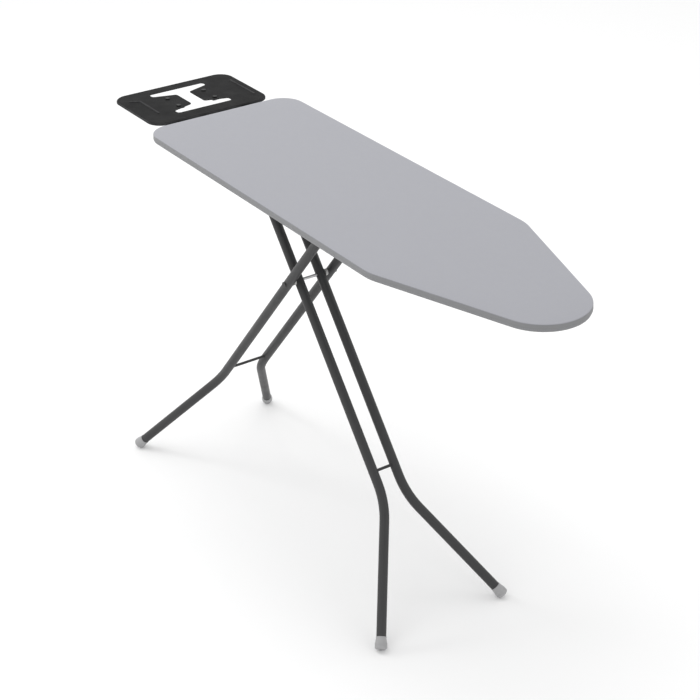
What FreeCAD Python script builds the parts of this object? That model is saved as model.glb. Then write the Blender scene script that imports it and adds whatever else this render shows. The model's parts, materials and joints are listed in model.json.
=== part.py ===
"""Folding ironing board with a crossed-leg stand and a metal iron rest.

Frame: millimetres, +Z up, +X toward the nose, origin on the floor under the middle of the object.
The board stands at its full height.  The front leg hinges under the rear half of the board and its
feet stand under the nose; the rear leg crosses it and its top rod slides in two slotted guides.
Both legs have the same angle and the same upper arm, so the crossing stays midway between their tops.
"""
import FreeCAD, Part
import math
import os

import Sketcher
from FreeCAD import Placement, Rotation, Vector

doc = FreeCAD.newDocument("ironing_board")

# ---------------------------------------------------------------- driving dimensions
DIMENSIONS = {
    # board outline, top view
    "board_length": 1087, "board_width": 340, "rear_end": -442, "corner_radius": 46,
    "shoulder_start": 750, "shoulder_radius": 80, "nose_radius": 86,
    # board layers, from the top surface down
    "top_height": 801, "cover_sheet": 1, "pad_thick": 3.3, "deck_sheet": 0.7, "band_height": 14,
    "border_wall": 1, "border_hem": 12, "frame_wall": 1.5, "frame_flange": 10, "frame_depth": 9,
    "slot_long": 44, "slot_wide": 12, "slot_pitch_x": 66, "slot_pitch_y": 46, "deck_margin": 22,
    # rails and cross plates under the deck
    "rail_start": -425, "rail_length": 905, "rail_spacing": 60, "rail_width": 20, "rail_depth": 12,
    "rail_wall": 1.2, "plate_sheet": 1.5, "plate_reach": 140,
    # leg stand
    "leg_angle": 51, "hinge_drop": 36, "hinge_place": -280, "upper_arm": 260.6,
    "tube_radius": 9.5, "tube_wall": 1.2, "tube_overhang": 12, "bend_radius": 165,
    "front_tube_y": 25.1, "front_bend": 722, "front_foot_y": 146.4,
    "rear_tube_y": 49.3, "rear_bend": 702, "rear_foot_y": 169.4,
    "cap_radius": 12, "cap_lip_radius": 10, "cap_sleeve": 19.8, "cap_edge": 4, "cap_ring_height": 9,
    # rods, caps and bushes of the stand
    "hinge_rod_radius": 4, "pivot_rod_radius": 3, "top_rod_radius": 4, "brace_rod_radius": 2.9,
    "front_brace_at": 660, "rear_brace_at": 653, "running_clearance": 0.05,
    "rod_cap_radius": 5.8, "rod_cap_thick": 1.6, "spacer_radius": 6.8, "spacer_gap": 0.15,
    "bush_radius": 6, "bush_width": 3.6, "bush_middle": 37.2,
    # hinge bracket and slotted guides
    "bracket_half": 18, "ear_inner": 12, "ear_sheet": 1.5, "ear_below": 11,
    "guide_inner": 36.2, "guide_sheet": 2, "guide_start": 20, "guide_end": 258, "guide_below": 13,
    "slot_play": 0.2, "folded_angle": 1.6, "slot_spare": 3,
    # height release: a pressure bar over the top rod, turned by a side lever
    "bar_start": 46, "bar_end": 288, "bar_near": -18, "bar_far": 10, "bar_bottom": 6, "bar_top": 13.5,
    "pad_start": 47, "pad_end": 250, "pad_near": -6, "pad_far": 9, "pad_gap": 0.3,
    "pin_side": -13, "pin_above": 9.5, "pin_radius": 2, "pin_start": 32, "pin_end": 294,
    "ear_rear": 33, "ear_front": 290, "ear_half": 5,
    "arm_at": 266, "arm_width": 20, "arm_sheet": 3, "arm_reach": 108, "grip_start": 98, "grip_end": 140,
    "grip_radius": 7, "spring_radius": 3.7, "spring_wire": 0.5, "spring_pitch": 1.6, "spring_length": 6.4,
    # iron rest
    "rest_length": 185, "rest_half_width": 137, "rest_corner": 31, "rest_gap": 18, "rest_drop": 4,
    "rest_depth": 5, "rest_sheet": 1.2, "rest_edge": 3, "cut_half": 61, "cut_slot": 15, "cut_flare": 30,
    "cut_half_width": 64, "cut_web": 15, "cut_back": -3, "cut_round": 6.5,
    "screw_x": 23, "screw_y": 43, "screw_radius": 2, "head_radius": 4.8, "head_height": 1.8,
    "nut_flats": 7, "nut_height": 3, "bead_radius": 3.2,
    "bead_left_y": -97, "bead_right_y": 120, "bead_rear": -42, "bead_front": 36, "bead_hook": 18,
    "rest_arm_width": 22, "rest_arm_sheet": 3, "rest_arm_front": -352, "rest_arm_low": -462,
    "rest_arm_rise": 22, "rest_arm_tip": -594, "rest_arm_y": 82, "rest_tab_half": 31, "rest_tab_inner": 34,
    "rest_plate_reach": 190, "rivet_radius": 2.5, "rivet_head": 4, "rivet_rise": 1.2,
}

sheet = doc.addObject("Spreadsheet::Sheet", "Dimensions")
for row, (word, number) in enumerate(DIMENSIONS.items(), start=1):
    sheet.set(f"A{row}", word)
    sheet.set(f"B{row}", str(number))
    sheet.setAlias(f"B{row}", word)
doc.recompute()


def dim(word):
    """Value of one cell of the sheet."""
    return float(sheet.get(word))


def bind(item, **formulas):
    """Bind properties of an object to the sheet; a name in a formula is a cell of the sheet."""
    for name, formula in formulas.items():
        words = sorted(set(DIMENSIONS) & set(split_words(formula)), key=len, reverse=True)
        for word in words:
            formula = replace_word(formula, word, f"<<Dimensions>>.{word}")
        item.setExpression(name.replace("__", "."), formula)


def split_words(formula):
    """Names that a formula holds."""
    return "".join(c if c.isalnum() or c == "_" else " " for c in formula).split()


def replace_word(formula, word, new):
    """Formula with one whole name replaced."""
    out = []
    piece = ""
    for c in formula + " ":
        if c.isalnum() or c == "_":
            piece += c
            continue
        out.append(new if piece == word else piece)
        out.append(c)
        piece = ""
    return "".join(out).strip()


# ---------------------------------------------------------------- derived places
HINGE_Z = dim("top_height") - dim("hinge_drop")
LEG_ANGLE = dim("leg_angle")
ARM_RUN = dim("upper_arm") * math.cos(math.radians(LEG_ANGLE))
TOP_ROD_X = dim("hinge_place") + 2 * ARM_RUN
FOLDED_X = dim("hinge_place") + 2 * dim("upper_arm") * math.cos(math.radians(dim("folded_angle")))
PAD_TOP = dim("top_height") - dim("cover_sheet")
DECK_TOP = PAD_TOP - dim("pad_thick")
DECK_BOTTOM = DECK_TOP - dim("deck_sheet")
BAND_BOTTOM = PAD_TOP - dim("band_height")
RAIL_BOTTOM = DECK_BOTTOM - dim("rail_depth")
PLATE_BOTTOM = RAIL_BOTTOM - dim("plate_sheet")
FOOT_ALONG = (HINGE_Z - dim("cap_ring_height")) / math.sin(math.radians(LEG_ANGLE))
REST_MIDDLE = dim("rear_end") - dim("rest_gap") - dim("rest_length") / 2
REST_TOP = dim("top_height") - dim("rest_drop")
REST_UNDER = REST_TOP - dim("rest_sheet")
BAR_PIN_Z = HINGE_Z + dim("pin_above")

FRONT_FRAME = Placement(Vector(dim("hinge_place"), 0, HINGE_Z), Rotation(Vector(0, 1, 0), LEG_ANGLE))
REAR_FRAME = Placement(Vector(TOP_ROD_X, 0, HINGE_Z), Rotation(Vector(0, 1, 0), 180 - LEG_ANGLE))

ALONG_Y = Rotation(Vector(1, 0, 0), -90)
ALONG_X = Rotation(Vector(0, 1, 0), 90)
UPRIGHT = Rotation()

nodes = []


def keep(item, label, placement=None):
    """Name a finished sub-part and put it in its place."""
    item.Label = label
    if placement is not None:
        item.Placement = placement
    nodes.append(item)
    return item


def cylinder(name, base, turn=UPRIGHT, **formulas):
    """Part cylinder with bound sizes."""
    item = doc.addObject("Part::Cylinder", name)
    bind(item, **formulas)
    item.Placement = Placement(base, turn)
    return item


def box(name, corner, **formulas):
    """Part box with bound sizes and its low corner at a point."""
    item = doc.addObject("Part::Box", name)
    bind(item, **formulas)
    item.Placement = Placement(corner, UPRIGHT)
    return item


def cut(name, base, tool):
    """Base less tool."""
    item = doc.addObject("Part::Cut", name)
    item.Base = base
    item.Tool = tool
    return item


def fuse(name, shapes):
    """Union of touching solids."""
    item = doc.addObject("Part::MultiFuse", name)
    item.Shapes = shapes
    item.Refine = True
    return item


def group(name, shapes):
    """Separate solids kept in one node."""
    item = doc.addObject("Part::Compound", name)
    item.Links = shapes
    return item


def mirrored(source, label):
    """The right-hand twin of a left-hand sub-part."""
    item = doc.addObject("Part::Mirroring", label)
    item.Source = source
    item.Normal = Vector(0, 1, 0)
    item.Base = Vector(0, 0, 0)
    return keep(item, label)


def origin_plane(body, role):
    """One of a body's own origin planes."""
    return next(f for f in body.Origin.OriginFeatures if f.Role == role)


def new_sketch(body, name, role):
    """Sketch on one of a body's origin planes."""
    sketch = body.newObject("Sketcher::SketchObject", name)
    sketch.AttachmentSupport = [(origin_plane(body, role), "")]
    sketch.MapMode = "FlatFace"
    return sketch


def measure(sketch, name, formula, *constraint):
    """Add a constraint with a bound value."""
    number = sketch.addConstraint(Sketcher.Constraint(*constraint))
    sketch.renameConstraint(number, name)
    bind(sketch, **{f"Constraints__{name}": formula})


# ---------------------------------------------------------------- board outline
def outline_points():
    """Tangent points of the left half of the outline, from the rear end to the nose."""
    rear = dim("rear_end")
    half = dim("board_width") / 2
    nose = Vector(rear + dim("board_length") - dim("nose_radius"), 0, 0)
    shoulder = Vector(rear + dim("shoulder_start"), half - dim("shoulder_radius"), 0)
    gap = nose - shoulder
    lift = math.acos((dim("shoulder_radius") - dim("nose_radius")) / gap.Length)
    normal_angle = math.atan2(gap.y, gap.x) + lift
    normal = Vector(math.cos(normal_angle), math.sin(normal_angle), 0)
    corner = Vector(rear + dim("corner_radius"), half - dim("corner_radius"), 0)
    return {"corner": corner, "shoulder": shoulder, "nose": nose, "normal": normal}


def make_outline():
    """Closed sketch of the board: straight rear end, parallel sides, shoulders and round nose."""
    at = outline_points()
    half = dim("board_width") / 2
    reach = dim("rear_end")
    angle = math.atan2(at["normal"].y, at["normal"].x)
    up = Vector(0, 0, 1)

    def flip(point):
        return Vector(point.x, -point.y, point.z)

    def arc(centre, radius, start, end):
        return Part.ArcOfCircle(Part.Circle(centre, up, radius), start, end)

    left_taper = (at["shoulder"] + at["normal"] * dim("shoulder_radius"),
                  at["nose"] + at["normal"] * dim("nose_radius"))
    side = (Vector(at["corner"].x, half, 0), Vector(at["shoulder"].x, half, 0))
    rear = (Vector(reach, at["corner"].y, 0), Vector(reach, -at["corner"].y, 0))
    sketch = doc.addObject("Sketcher::SketchObject", "board_outline")
    sketch.addGeometry([
        Part.LineSegment(*rear),
        arc(flip(at["corner"]), dim("corner_radius"), math.pi, 1.5 * math.pi),
        Part.LineSegment(flip(side[0]), flip(side[1])),
        arc(flip(at["shoulder"]), dim("shoulder_radius"), 1.5 * math.pi, 2 * math.pi - angle),
        Part.LineSegment(flip(left_taper[0]), flip(left_taper[1])),
        arc(at["nose"], dim("nose_radius"), -angle, angle),
        Part.LineSegment(left_taper[1], left_taper[0]),
        arc(at["shoulder"], dim("shoulder_radius"), angle, math.pi / 2),
        Part.LineSegment(side[1], side[0]),
        arc(at["corner"], dim("corner_radius"), math.pi / 2, math.pi),
    ])
    # counter-clockwise chain: every edge ends (2) where the next one starts (1), without a kink
    count = 10
    for edge in range(count):
        sketch.addConstraint(Sketcher.Constraint("Tangent", edge, 2, (edge + 1) % count, 1))
    sketch.addConstraint(Sketcher.Constraint("Vertical", 0))
    sketch.addConstraint(Sketcher.Constraint("Horizontal", 2))
    sketch.addConstraint(Sketcher.Constraint("Horizontal", 8))
    sketch.addConstraint(Sketcher.Constraint("PointOnObject", 5, 3, -1))
    sketch.addConstraint(Sketcher.Constraint("Equal", 1, 9))
    sketch.addConstraint(Sketcher.Constraint("Equal", 3, 7))
    sketch.addConstraint(Sketcher.Constraint("Symmetric", 2, 2, 8, 1, -1))
    measure(sketch, "rear", "rear_end", "DistanceX", -1, 1, 0, 1, reach)
    measure(sketch, "width", "board_width", "DistanceY", 2, 2, 8, 1, 2 * half)
    measure(sketch, "corner", "corner_radius", "Radius", 1, dim("corner_radius"))
    measure(sketch, "shoulder", "shoulder_radius", "Radius", 3, dim("shoulder_radius"))
    measure(sketch, "nose", "nose_radius", "Radius", 5, dim("nose_radius"))
    measure(sketch, "shoulder_place", "rear_end + shoulder_start", "DistanceX", -1, 1, 2, 2, at["shoulder"].x)
    measure(sketch, "nose_place", "rear_end + board_length - nose_radius", "DistanceX", -1, 1, 5, 3,
            at["nose"].x)
    return sketch


outline = make_outline()


def slab(name, inset, bottom, height):
    """Plate with the board's outline, set in by a bound distance."""
    base = outline
    if inset:
        base = doc.addObject("Part::Offset2D", f"{name}_outline")
        base.Source = outline
        bind(base, Value=f"-({inset})")
    item = doc.addObject("Part::Extrusion", name)
    item.Base = base
    item.DirMode = "Custom"
    item.Dir = Vector(0, 0, 1)
    item.Solid = True
    bind(item, LengthFwd=height)
    item.Placement = Placement(Vector(0, 0, bottom), UPRIGHT)
    return item


def make_cover():
    """Fabric sheet, its padding, and the border band with the hem turned in under the edge."""
    keep(slab("cover_top", None, PAD_TOP, "cover_sheet"), "cover_top")
    keep(slab("felt_pad", "border_wall", DECK_TOP, "pad_thick"), "felt_pad")
    band = slab("band_blank", None, BAND_BOTTOM, "band_height")
    hollow = slab("band_hollow", "border_wall", BAND_BOTTOM + dim("border_wall"), "band_height")
    mouth = slab("band_mouth", "border_hem", BAND_BOTTOM, "band_height")
    keep(cut("cover_border", cut("band_wall", band, hollow), mouth), "cover_border")


def half_width_at(x):
    """Half width of the outline beyond the shoulders or along the sides."""
    at = outline_points()
    half = dim("board_width") / 2
    start = at["shoulder"] + at["normal"] * dim("shoulder_radius")
    if x <= start.x:
        return half
    return start.y - (x - start.x) * at["normal"].x / at["normal"].y


def vent_slots():
    """Long round-ended slots in rows, through the deck sheet."""
    radius = dim("slot_wide") / 2
    span = dim("slot_long") / 2 - radius
    rows = range(-3, 4)
    tools = []
    x = dim("rear_end") + dim("corner_radius") + span
    while x < dim("rear_end") + dim("board_length") - dim("nose_radius"):
        for row in rows:
            y = row * dim("slot_pitch_y")
            if abs(y) + radius + dim("deck_margin") > half_width_at(x + span):
                continue
            ends = [Vector(x + side * span, y, DECK_BOTTOM) for side in (-1, 1)]
            body = Part.makeBox(2 * span, 2 * radius, dim("deck_sheet"), ends[0] - Vector(0, radius, 0))
            rounds = [Part.makeCylinder(radius, dim("deck_sheet"), end) for end in ends]
            tools.append(body.multiFuse(rounds).removeSplitter())
        x += dim("slot_pitch_x")
    return Part.makeCompound(tools)


def make_deck():
    """Vented steel sheet on an angle frame that follows the outline."""
    vents = doc.addObject("Part::Feature", "deck_vents")
    vents.Shape = vent_slots()
    sheet_blank = slab("deck_blank", "border_wall", DECK_BOTTOM, "deck_sheet")
    keep(cut("deck_panel", sheet_blank, vents), "deck_panel")
    low = DECK_BOTTOM - dim("frame_depth")
    blank = slab("frame_blank", "border_wall", low, "frame_depth")
    hollow = slab("frame_hollow", "border_wall + frame_wall", low + dim("frame_wall"), "frame_depth")
    mouth = slab("frame_mouth", "border_wall + frame_flange", low, "frame_depth")
    keep(cut("edge_frame", cut("frame_angle", blank, hollow), mouth), "edge_frame")


def make_rails():
    """Two channel rails under the deck, open side up against the sheet."""
    inner = dim("rail_spacing") - dim("rail_width") / 2
    blank = box("rail_blank", Vector(dim("rail_start"), inner, RAIL_BOTTOM),
                Length="rail_length", Width="rail_width", Height="rail_depth")
    hollow = box("rail_hollow", Vector(dim("rail_start"), inner + dim("rail_wall"),
                                       RAIL_BOTTOM + dim("rail_wall")),
                 Length="rail_length", Width="rail_width - 2 * rail_wall", Height="rail_depth")
    mirrored(keep(cut("rail_left", blank, hollow), "rail_left"), "rail_right")


def cross_plate(name, start, length_formula, reach="plate_reach"):
    """Flat plate across both rails."""
    return box(name, Vector(start, -dim(reach) / 2, PLATE_BOTTOM),
               Length=length_formula, Width=reach, Height="plate_sheet")


def make_hinge_bracket():
    """Plate with two ears that carry the front leg's hinge rod."""
    half = dim("bracket_half")
    place = dim("hinge_place")
    low = HINGE_Z - dim("ear_below")
    parts = [cross_plate("bracket_plate", place - half, "2 * bracket_half")]
    for side, y in (("left", dim("ear_inner")), ("right", -dim("ear_inner") - dim("ear_sheet"))):
        parts.append(box(f"bracket_ear_{side}", Vector(place - half, y, low),
                         Length="2 * bracket_half", Width="ear_sheet",
                         Height="hinge_drop + ear_below - cover_sheet - pad_thick - deck_sheet"
                                " - rail_depth - plate_sheet"))
    bore = cylinder("bracket_bore", Vector(place, -half, HINGE_Z), ALONG_Y,
                    Radius="hinge_rod_radius + running_clearance", Height="2 * bracket_half")
    keep(cut("hinge_bracket", fuse("bracket_blank", parts), bore), "hinge_bracket")


def make_guides():
    """Slotted guide plates in which the rear leg's top rod slides."""
    start = dim("guide_start")
    low = HINGE_Z - dim("guide_below")
    blank = box("guide_blank", Vector(start, dim("guide_inner"), low),
                Length="guide_end - guide_start", Width="guide_sheet",
                Height="hinge_drop + guide_below - cover_sheet - pad_thick - deck_sheet"
                       " - rail_depth - plate_sheet")
    reach = dim("bush_radius") + dim("slot_play")
    slot_formula = "bush_radius + slot_play"
    front = FOLDED_X + dim("slot_spare")
    ends = [cylinder(f"guide_slot_{name}", Vector(x, dim("guide_inner"), HINGE_Z), ALONG_Y,
                     Radius=slot_formula, Height="guide_sheet")
            for name, x in (("rear", TOP_ROD_X), ("front", front))]
    middle = box("guide_slot_middle", Vector(TOP_ROD_X, dim("guide_inner"), HINGE_Z - reach),
                 Length="slot_spare + 2 * upper_arm * (cos(folded_angle * 1 deg) - cos(leg_angle * 1 deg))",
                 Width="guide_sheet", Height=f"2 * ({slot_formula})")
    slot = fuse("guide_slot", ends + [middle])
    mirrored(keep(cut("guide_left", blank, slot), "guide_left"), "guide_right")


def make_cross_plates():
    """Plates that tie the guides and the iron rest's arms to the rails; two carry ears for the bar's pin."""
    for name, start, ear in (("guide_plate_rear", dim("guide_start") - dim("bracket_half"), "ear_rear"),
                             ("guide_plate_front", dim("guide_end") - dim("bracket_half"), "ear_front")):
        length = {"ear_rear": "2 * bracket_half", "ear_front": "3 * bracket_half"}[ear]
        plate = cross_plate(f"{name}_flat", start, length)
        ear_low = BAR_PIN_Z - dim("ear_half")
        tab = box(f"{name}_tab", Vector(dim(ear), dim("pin_side") - dim("ear_half"), ear_low),
                  Length="ear_sheet", Width="2 * ear_half",
                  Height="hinge_drop + ear_half - pin_above - cover_sheet - pad_thick - deck_sheet"
                         " - rail_depth - plate_sheet")
        bore = cylinder(f"{name}_bore", Vector(dim(ear), dim("pin_side"), BAR_PIN_Z), ALONG_X,
                        Radius="pin_radius", Height="ear_sheet")
        keep(cut(name, fuse(f"{name}_blank", [plate, tab]), bore), name)
    keep(cross_plate("rear_cross_plate", dim("rest_arm_front") - 2 * dim("bracket_half"),
                     "2 * bracket_half", "rest_plate_reach"), "rear_cross_plate")


# ---------------------------------------------------------------- legs
def make_tube(label, frame, side, bend, foot, bores):
    """Bent leg tube in its leg's own plane: straight, smooth bend outward, straight to the foot."""
    body = doc.addObject("PartDesign::Body", label)
    y_top = dim(side)
    y_foot = dim(foot)
    bend_at = dim(bend)
    radius = dim("bend_radius")
    turn = math.atan2(y_foot - y_top, FOOT_ALONG - bend_at)
    tangent = radius * math.tan(turn / 2)
    start = Vector(-dim("tube_overhang"), y_top, 0)
    bend_start = Vector(bend_at - tangent, y_top, 0)
    bend_end = Vector(bend_at + tangent * math.cos(turn), y_top + tangent * math.sin(turn), 0)
    centre = Vector(bend_start.x, y_top + radius, 0)
    path = new_sketch(body, f"{label}_path", "XY_Plane")
    path.addGeometry([
        Part.LineSegment(start, bend_start),
        Part.ArcOfCircle(Part.Circle(centre, Vector(0, 0, 1), radius), 1.5 * math.pi, 1.5 * math.pi + turn),
        Part.LineSegment(bend_end, Vector(FOOT_ALONG, y_foot, 0)),
    ])
    knee = path.addGeometry(Part.Point(Vector(bend_at, y_top, 0)), True)
    path.addConstraint(Sketcher.Constraint("Tangent", 0, 2, 1, 1))
    path.addConstraint(Sketcher.Constraint("Tangent", 1, 2, 2, 1))
    path.addConstraint(Sketcher.Constraint("Horizontal", 0))
    path.addConstraint(Sketcher.Constraint("PointOnObject", knee, 1, 0))
    path.addConstraint(Sketcher.Constraint("PointOnObject", knee, 1, 2))
    measure(path, "overhang", "-tube_overhang", "DistanceX", -1, 1, 0, 1, start.x)
    measure(path, "side", side, "DistanceY", -1, 1, 0, 1, y_top)
    measure(path, "bend_radius_value", "bend_radius", "Radius", 1, radius)
    measure(path, "knee", bend, "DistanceX", -1, 1, knee, 1, bend_at)
    measure(path, "foot_side", foot, "DistanceY", -1, 1, 2, 2, y_foot)
    measure(path, "foot_along", "(top_height - hinge_drop - cap_ring_height) / sin(leg_angle * 1 deg)",
            "DistanceX", -1, 1, 2, 2, FOOT_ALONG)
    ring = new_sketch(body, f"{label}_section", "YZ_Plane")
    bind(ring, AttachmentOffset__Base__z="-tube_overhang")
    for name, formula, size in (("outer", "tube_radius", dim("tube_radius")),
                                ("inner", "tube_radius - tube_wall", dim("tube_radius") - dim("tube_wall"))):
        circle = ring.addGeometry(Part.Circle(Vector(y_top, 0, 0), Vector(0, 0, 1), size))
        ring.addConstraint(Sketcher.Constraint("PointOnObject", circle, 3, -1))
        measure(ring, f"{name}_side", side, "DistanceX", -1, 1, circle, 3, y_top)
        measure(ring, name, formula, "Radius", circle, size)
    doc.recompute()
    pipe = body.newObject("PartDesign::AdditivePipe", f"{label}_pipe")
    pipe.Profile = ring
    pipe.Spine = path
    doc.recompute()
    holes = new_sketch(body, f"{label}_holes", "XZ_Plane")
    for name, along, formula, size in bores:
        middle = Vector(dim(along) if along else 0, 0, 0)
        circle = holes.addGeometry(Part.Circle(middle, Vector(0, 0, 1), size))
        if along:
            holes.addConstraint(Sketcher.Constraint("PointOnObject", circle, 3, -1))
            measure(holes, f"{name}_along", along, "DistanceX", -1, 1, circle, 3, dim(along))
        else:
            holes.addConstraint(Sketcher.Constraint("Coincident", circle, 3, -1, 1))
        measure(holes, name, formula, "Radius", circle, size)
    drill = body.newObject("PartDesign::Pocket", f"{label}_drill")
    drill.Profile = holes
    drill.Type = "ThroughAll"
    drill.Midplane = True
    full = pipe.Shape.Volume
    doc.recompute()
    if drill.Shape.Volume >= full:
        raise RuntimeError(f"{label}: the rod holes removed nothing")
    return keep(body, label, frame)


def make_foot(label, frame, side, bend, foot):
    """Plastic foot: a sleeve that flares down the tube to a flat end with a rounded edge."""
    along = Vector(FOOT_ALONG - dim(bend), dim(foot) - dim(side), 0).normalize()
    seat = Placement(Vector(FOOT_ALONG, dim(foot), 0), Rotation(Vector(0, 0, 1), -along))
    place = frame.multiply(seat)
    flare = doc.addObject("Part::Cone", f"{label}_flare")
    bind(flare, Radius1="cap_radius", Radius2="cap_lip_radius", Height="cap_sleeve")
    edge = doc.addObject("Part::Torus", f"{label}_edge")
    bind(edge, Radius1="cap_radius - cap_edge", Radius2="cap_edge")
    end = cylinder(f"{label}_end", Vector(0, 0, -dim("cap_edge")), Radius="cap_radius - cap_edge",
                   Height="cap_edge")
    socket = cylinder(f"{label}_socket", Vector(), Radius="tube_radius", Height="cap_sleeve")
    cap = cut(f"{label}_cap", fuse(f"{label}_solid", [flare, edge, end]), socket)
    cap.Placement = place
    span = 4 * dim("cap_radius")
    middle = place.Base
    floor = box(f"{label}_floor", Vector(middle.x - span / 2, middle.y - span / 2, -span / 4),
                Length="4 * cap_radius", Width="4 * cap_radius", Height="cap_radius")
    return keep(cut(label, cap, floor), label)


def cross_rod(name, frame, along, radius, reach):
    """Round rod through both tubes of a leg, centred on the middle plane."""
    base = Vector(dim(along) if along else 0, -value_of(reach), 0)
    rod = cylinder(name, Vector(), Radius=radius, Height=f"2 * ({reach})")
    return keep(rod, name, frame.multiply(Placement(base, ALONG_Y)))


def value_of(formula):
    """Value of a chain of sheet cells joined by plus and minus signs."""
    terms = formula.replace("- ", "+ -").split("+")
    cells = [term.strip() for term in terms]
    return sum(-dim(cell[1:]) if cell.startswith("-") else dim(cell) for cell in cells)


def rod_pair(name, frame, along, start, radius, thick, hole):
    """Two equal rings or caps on a rod, one on each side; a ring has a hole for the rod."""
    shapes = []
    for side in (1, -1):
        low = value_of(start) if side > 0 else -value_of(start) - value_of(thick)
        base = frame.multiply(Placement(Vector(dim(along) if along else 0, low, 0), ALONG_Y))
        suffix = "left" if side > 0 else "right"
        disc = cylinder(f"{name}_{suffix}", Vector(), Radius=radius, Height=thick)
        disc.Placement = base
        if hole:
            bore = cylinder(f"{name}_{suffix}_bore", Vector(), Radius=hole, Height=thick)
            bore.Placement = base
            disc = cut(f"{name}_{suffix}_ring", disc, bore)
        shapes.append(disc)
    return keep(group(name, shapes), name)


def make_front_leg():
    """Inner leg: hinged on the board's bracket, feet under the nose."""
    bores = (("hinge", None, "hinge_rod_radius", dim("hinge_rod_radius")),
             ("pivot", "upper_arm", "pivot_rod_radius", dim("pivot_rod_radius")),
             ("brace", "front_brace_at", "brace_rod_radius", dim("brace_rod_radius")))
    tube = make_tube("front_tube_left", FRONT_FRAME, "front_tube_y", "front_bend", "front_foot_y", bores)
    mirrored(tube, "front_tube_right")
    foot = make_foot("front_foot_left", FRONT_FRAME, "front_tube_y", "front_bend", "front_foot_y")
    mirrored(foot, "front_foot_right")
    outer = "front_tube_y + tube_radius"
    cross_rod("hinge_rod", FRONT_FRAME, None, "hinge_rod_radius", outer)
    rod_pair("hinge_rod_caps", FRONT_FRAME, None, outer, "rod_cap_radius", "rod_cap_thick", None)
    cross_rod("pivot_rod", FRONT_FRAME, "upper_arm", "pivot_rod_radius", "rear_tube_y + tube_radius")
    rod_pair("pivot_rod_caps", FRONT_FRAME, "upper_arm", "rear_tube_y + tube_radius + spacer_gap",
             "rod_cap_radius", "rod_cap_thick", None)
    cross_rod("front_brace_rod", FRONT_FRAME, "front_brace_at", "brace_rod_radius", outer)
    rod_pair("pivot_spacers", FRONT_FRAME, "upper_arm", outer, "spacer_radius",
             "rear_tube_y - tube_radius - front_tube_y - tube_radius - spacer_gap", "pivot_rod_radius")


def make_rear_leg():
    """Outer leg: pivots on the front leg, slides under the board, feet behind the rear end."""
    loose_bore = "pivot_rod_radius + running_clearance"
    bores = (("top", None, "top_rod_radius", dim("top_rod_radius")),
             ("pivot", "upper_arm", loose_bore, dim("pivot_rod_radius") + dim("running_clearance")),
             ("brace", "rear_brace_at", "brace_rod_radius", dim("brace_rod_radius")))
    tube = make_tube("rear_tube_left", REAR_FRAME, "rear_tube_y", "rear_bend", "rear_foot_y", bores)
    mirrored(tube, "rear_tube_right")
    foot = make_foot("rear_foot_left", REAR_FRAME, "rear_tube_y", "rear_bend", "rear_foot_y")
    mirrored(foot, "rear_foot_right")
    outer = "rear_tube_y + tube_radius"
    cross_rod("top_rod", REAR_FRAME, None, "top_rod_radius", outer)
    rod_pair("top_rod_caps", REAR_FRAME, None, outer, "rod_cap_radius", "rod_cap_thick", None)
    cross_rod("rear_brace_rod", REAR_FRAME, "rear_brace_at", "brace_rod_radius", outer)
    shapes = []
    for side in (-1, 1):
        low = side * dim("bush_middle") - dim("bush_width") / 2
        suffix = "left" if side > 0 else "right"
        ring, bore = (cylinder(f"guide_bush_{suffix}_{kind}", Vector(TOP_ROD_X, low, HINGE_Z), ALONG_Y,
                               Radius=radius, Height="bush_width")
                      for kind, radius in (("ring", "bush_radius"), ("bore", "top_rod_radius")))
        shapes.append(cut(f"guide_bush_{suffix}", ring, bore))
    keep(group("guide_bushes", shapes), "guide_bushes")


# ---------------------------------------------------------------- height release
def make_release():
    """Pressure bar over the top rod with its friction pad, pin, spring, side lever and grip."""
    bar = box("bar_blank", Vector(dim("bar_start"), dim("bar_near"), HINGE_Z + dim("bar_bottom")),
              Length="bar_end - bar_start", Width="bar_far - bar_near", Height="bar_top - bar_bottom")
    bore = cylinder("bar_bore", Vector(dim("bar_start"), dim("pin_side"), BAR_PIN_Z), ALONG_X,
                    Radius="pin_radius + running_clearance", Height="bar_end - bar_start")
    keep(cut("pressure_bar", bar, bore), "pressure_bar")
    pad_low = HINGE_Z + dim("top_rod_radius") + dim("pad_gap")
    keep(box("friction_pad", Vector(dim("pad_start"), dim("pad_near"), pad_low),
             Length="pad_end - pad_start", Width="pad_far - pad_near",
             Height="bar_bottom - top_rod_radius - pad_gap"), "friction_pad")
    keep(cylinder("bar_pin", Vector(dim("pin_start"), dim("pin_side"), BAR_PIN_Z), ALONG_X,
                  Radius="pin_radius", Height="pin_end - pin_start"), "bar_pin")
    arm_low = HINGE_Z + (dim("bar_bottom") + dim("bar_top") - dim("arm_sheet")) / 2
    keep(box("release_lever", Vector(dim("arm_at"), dim("bar_far"), arm_low),
             Length="arm_width", Width="arm_reach - bar_far", Height="arm_sheet"), "release_lever")
    grip = cylinder("grip_blank", Vector(dim("arm_at") + dim("arm_width") / 2, dim("grip_start"),
                                         arm_low + dim("arm_sheet") / 2), ALONG_Y,
                    Radius="arm_width / 2 + grip_radius / 2", Height="grip_end - grip_start")
    flat = box("grip_flat", Vector(dim("arm_at") - dim("grip_radius") / 2, dim("grip_start"),
                                   arm_low + dim("arm_sheet") / 2 - dim("grip_radius")),
               Length="arm_width + grip_radius", Width="grip_end - grip_start", Height="2 * grip_radius")
    body = doc.addObject("Part::Common", "grip_body")
    body.Base = grip
    body.Tool = flat
    slot = box("grip_slot", Vector(dim("arm_at"), dim("grip_start"), arm_low),
               Length="arm_width", Width="arm_reach - grip_start", Height="arm_sheet")
    keep(cut("lever_grip", body, slot), "lever_grip")
    make_spring()


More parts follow.
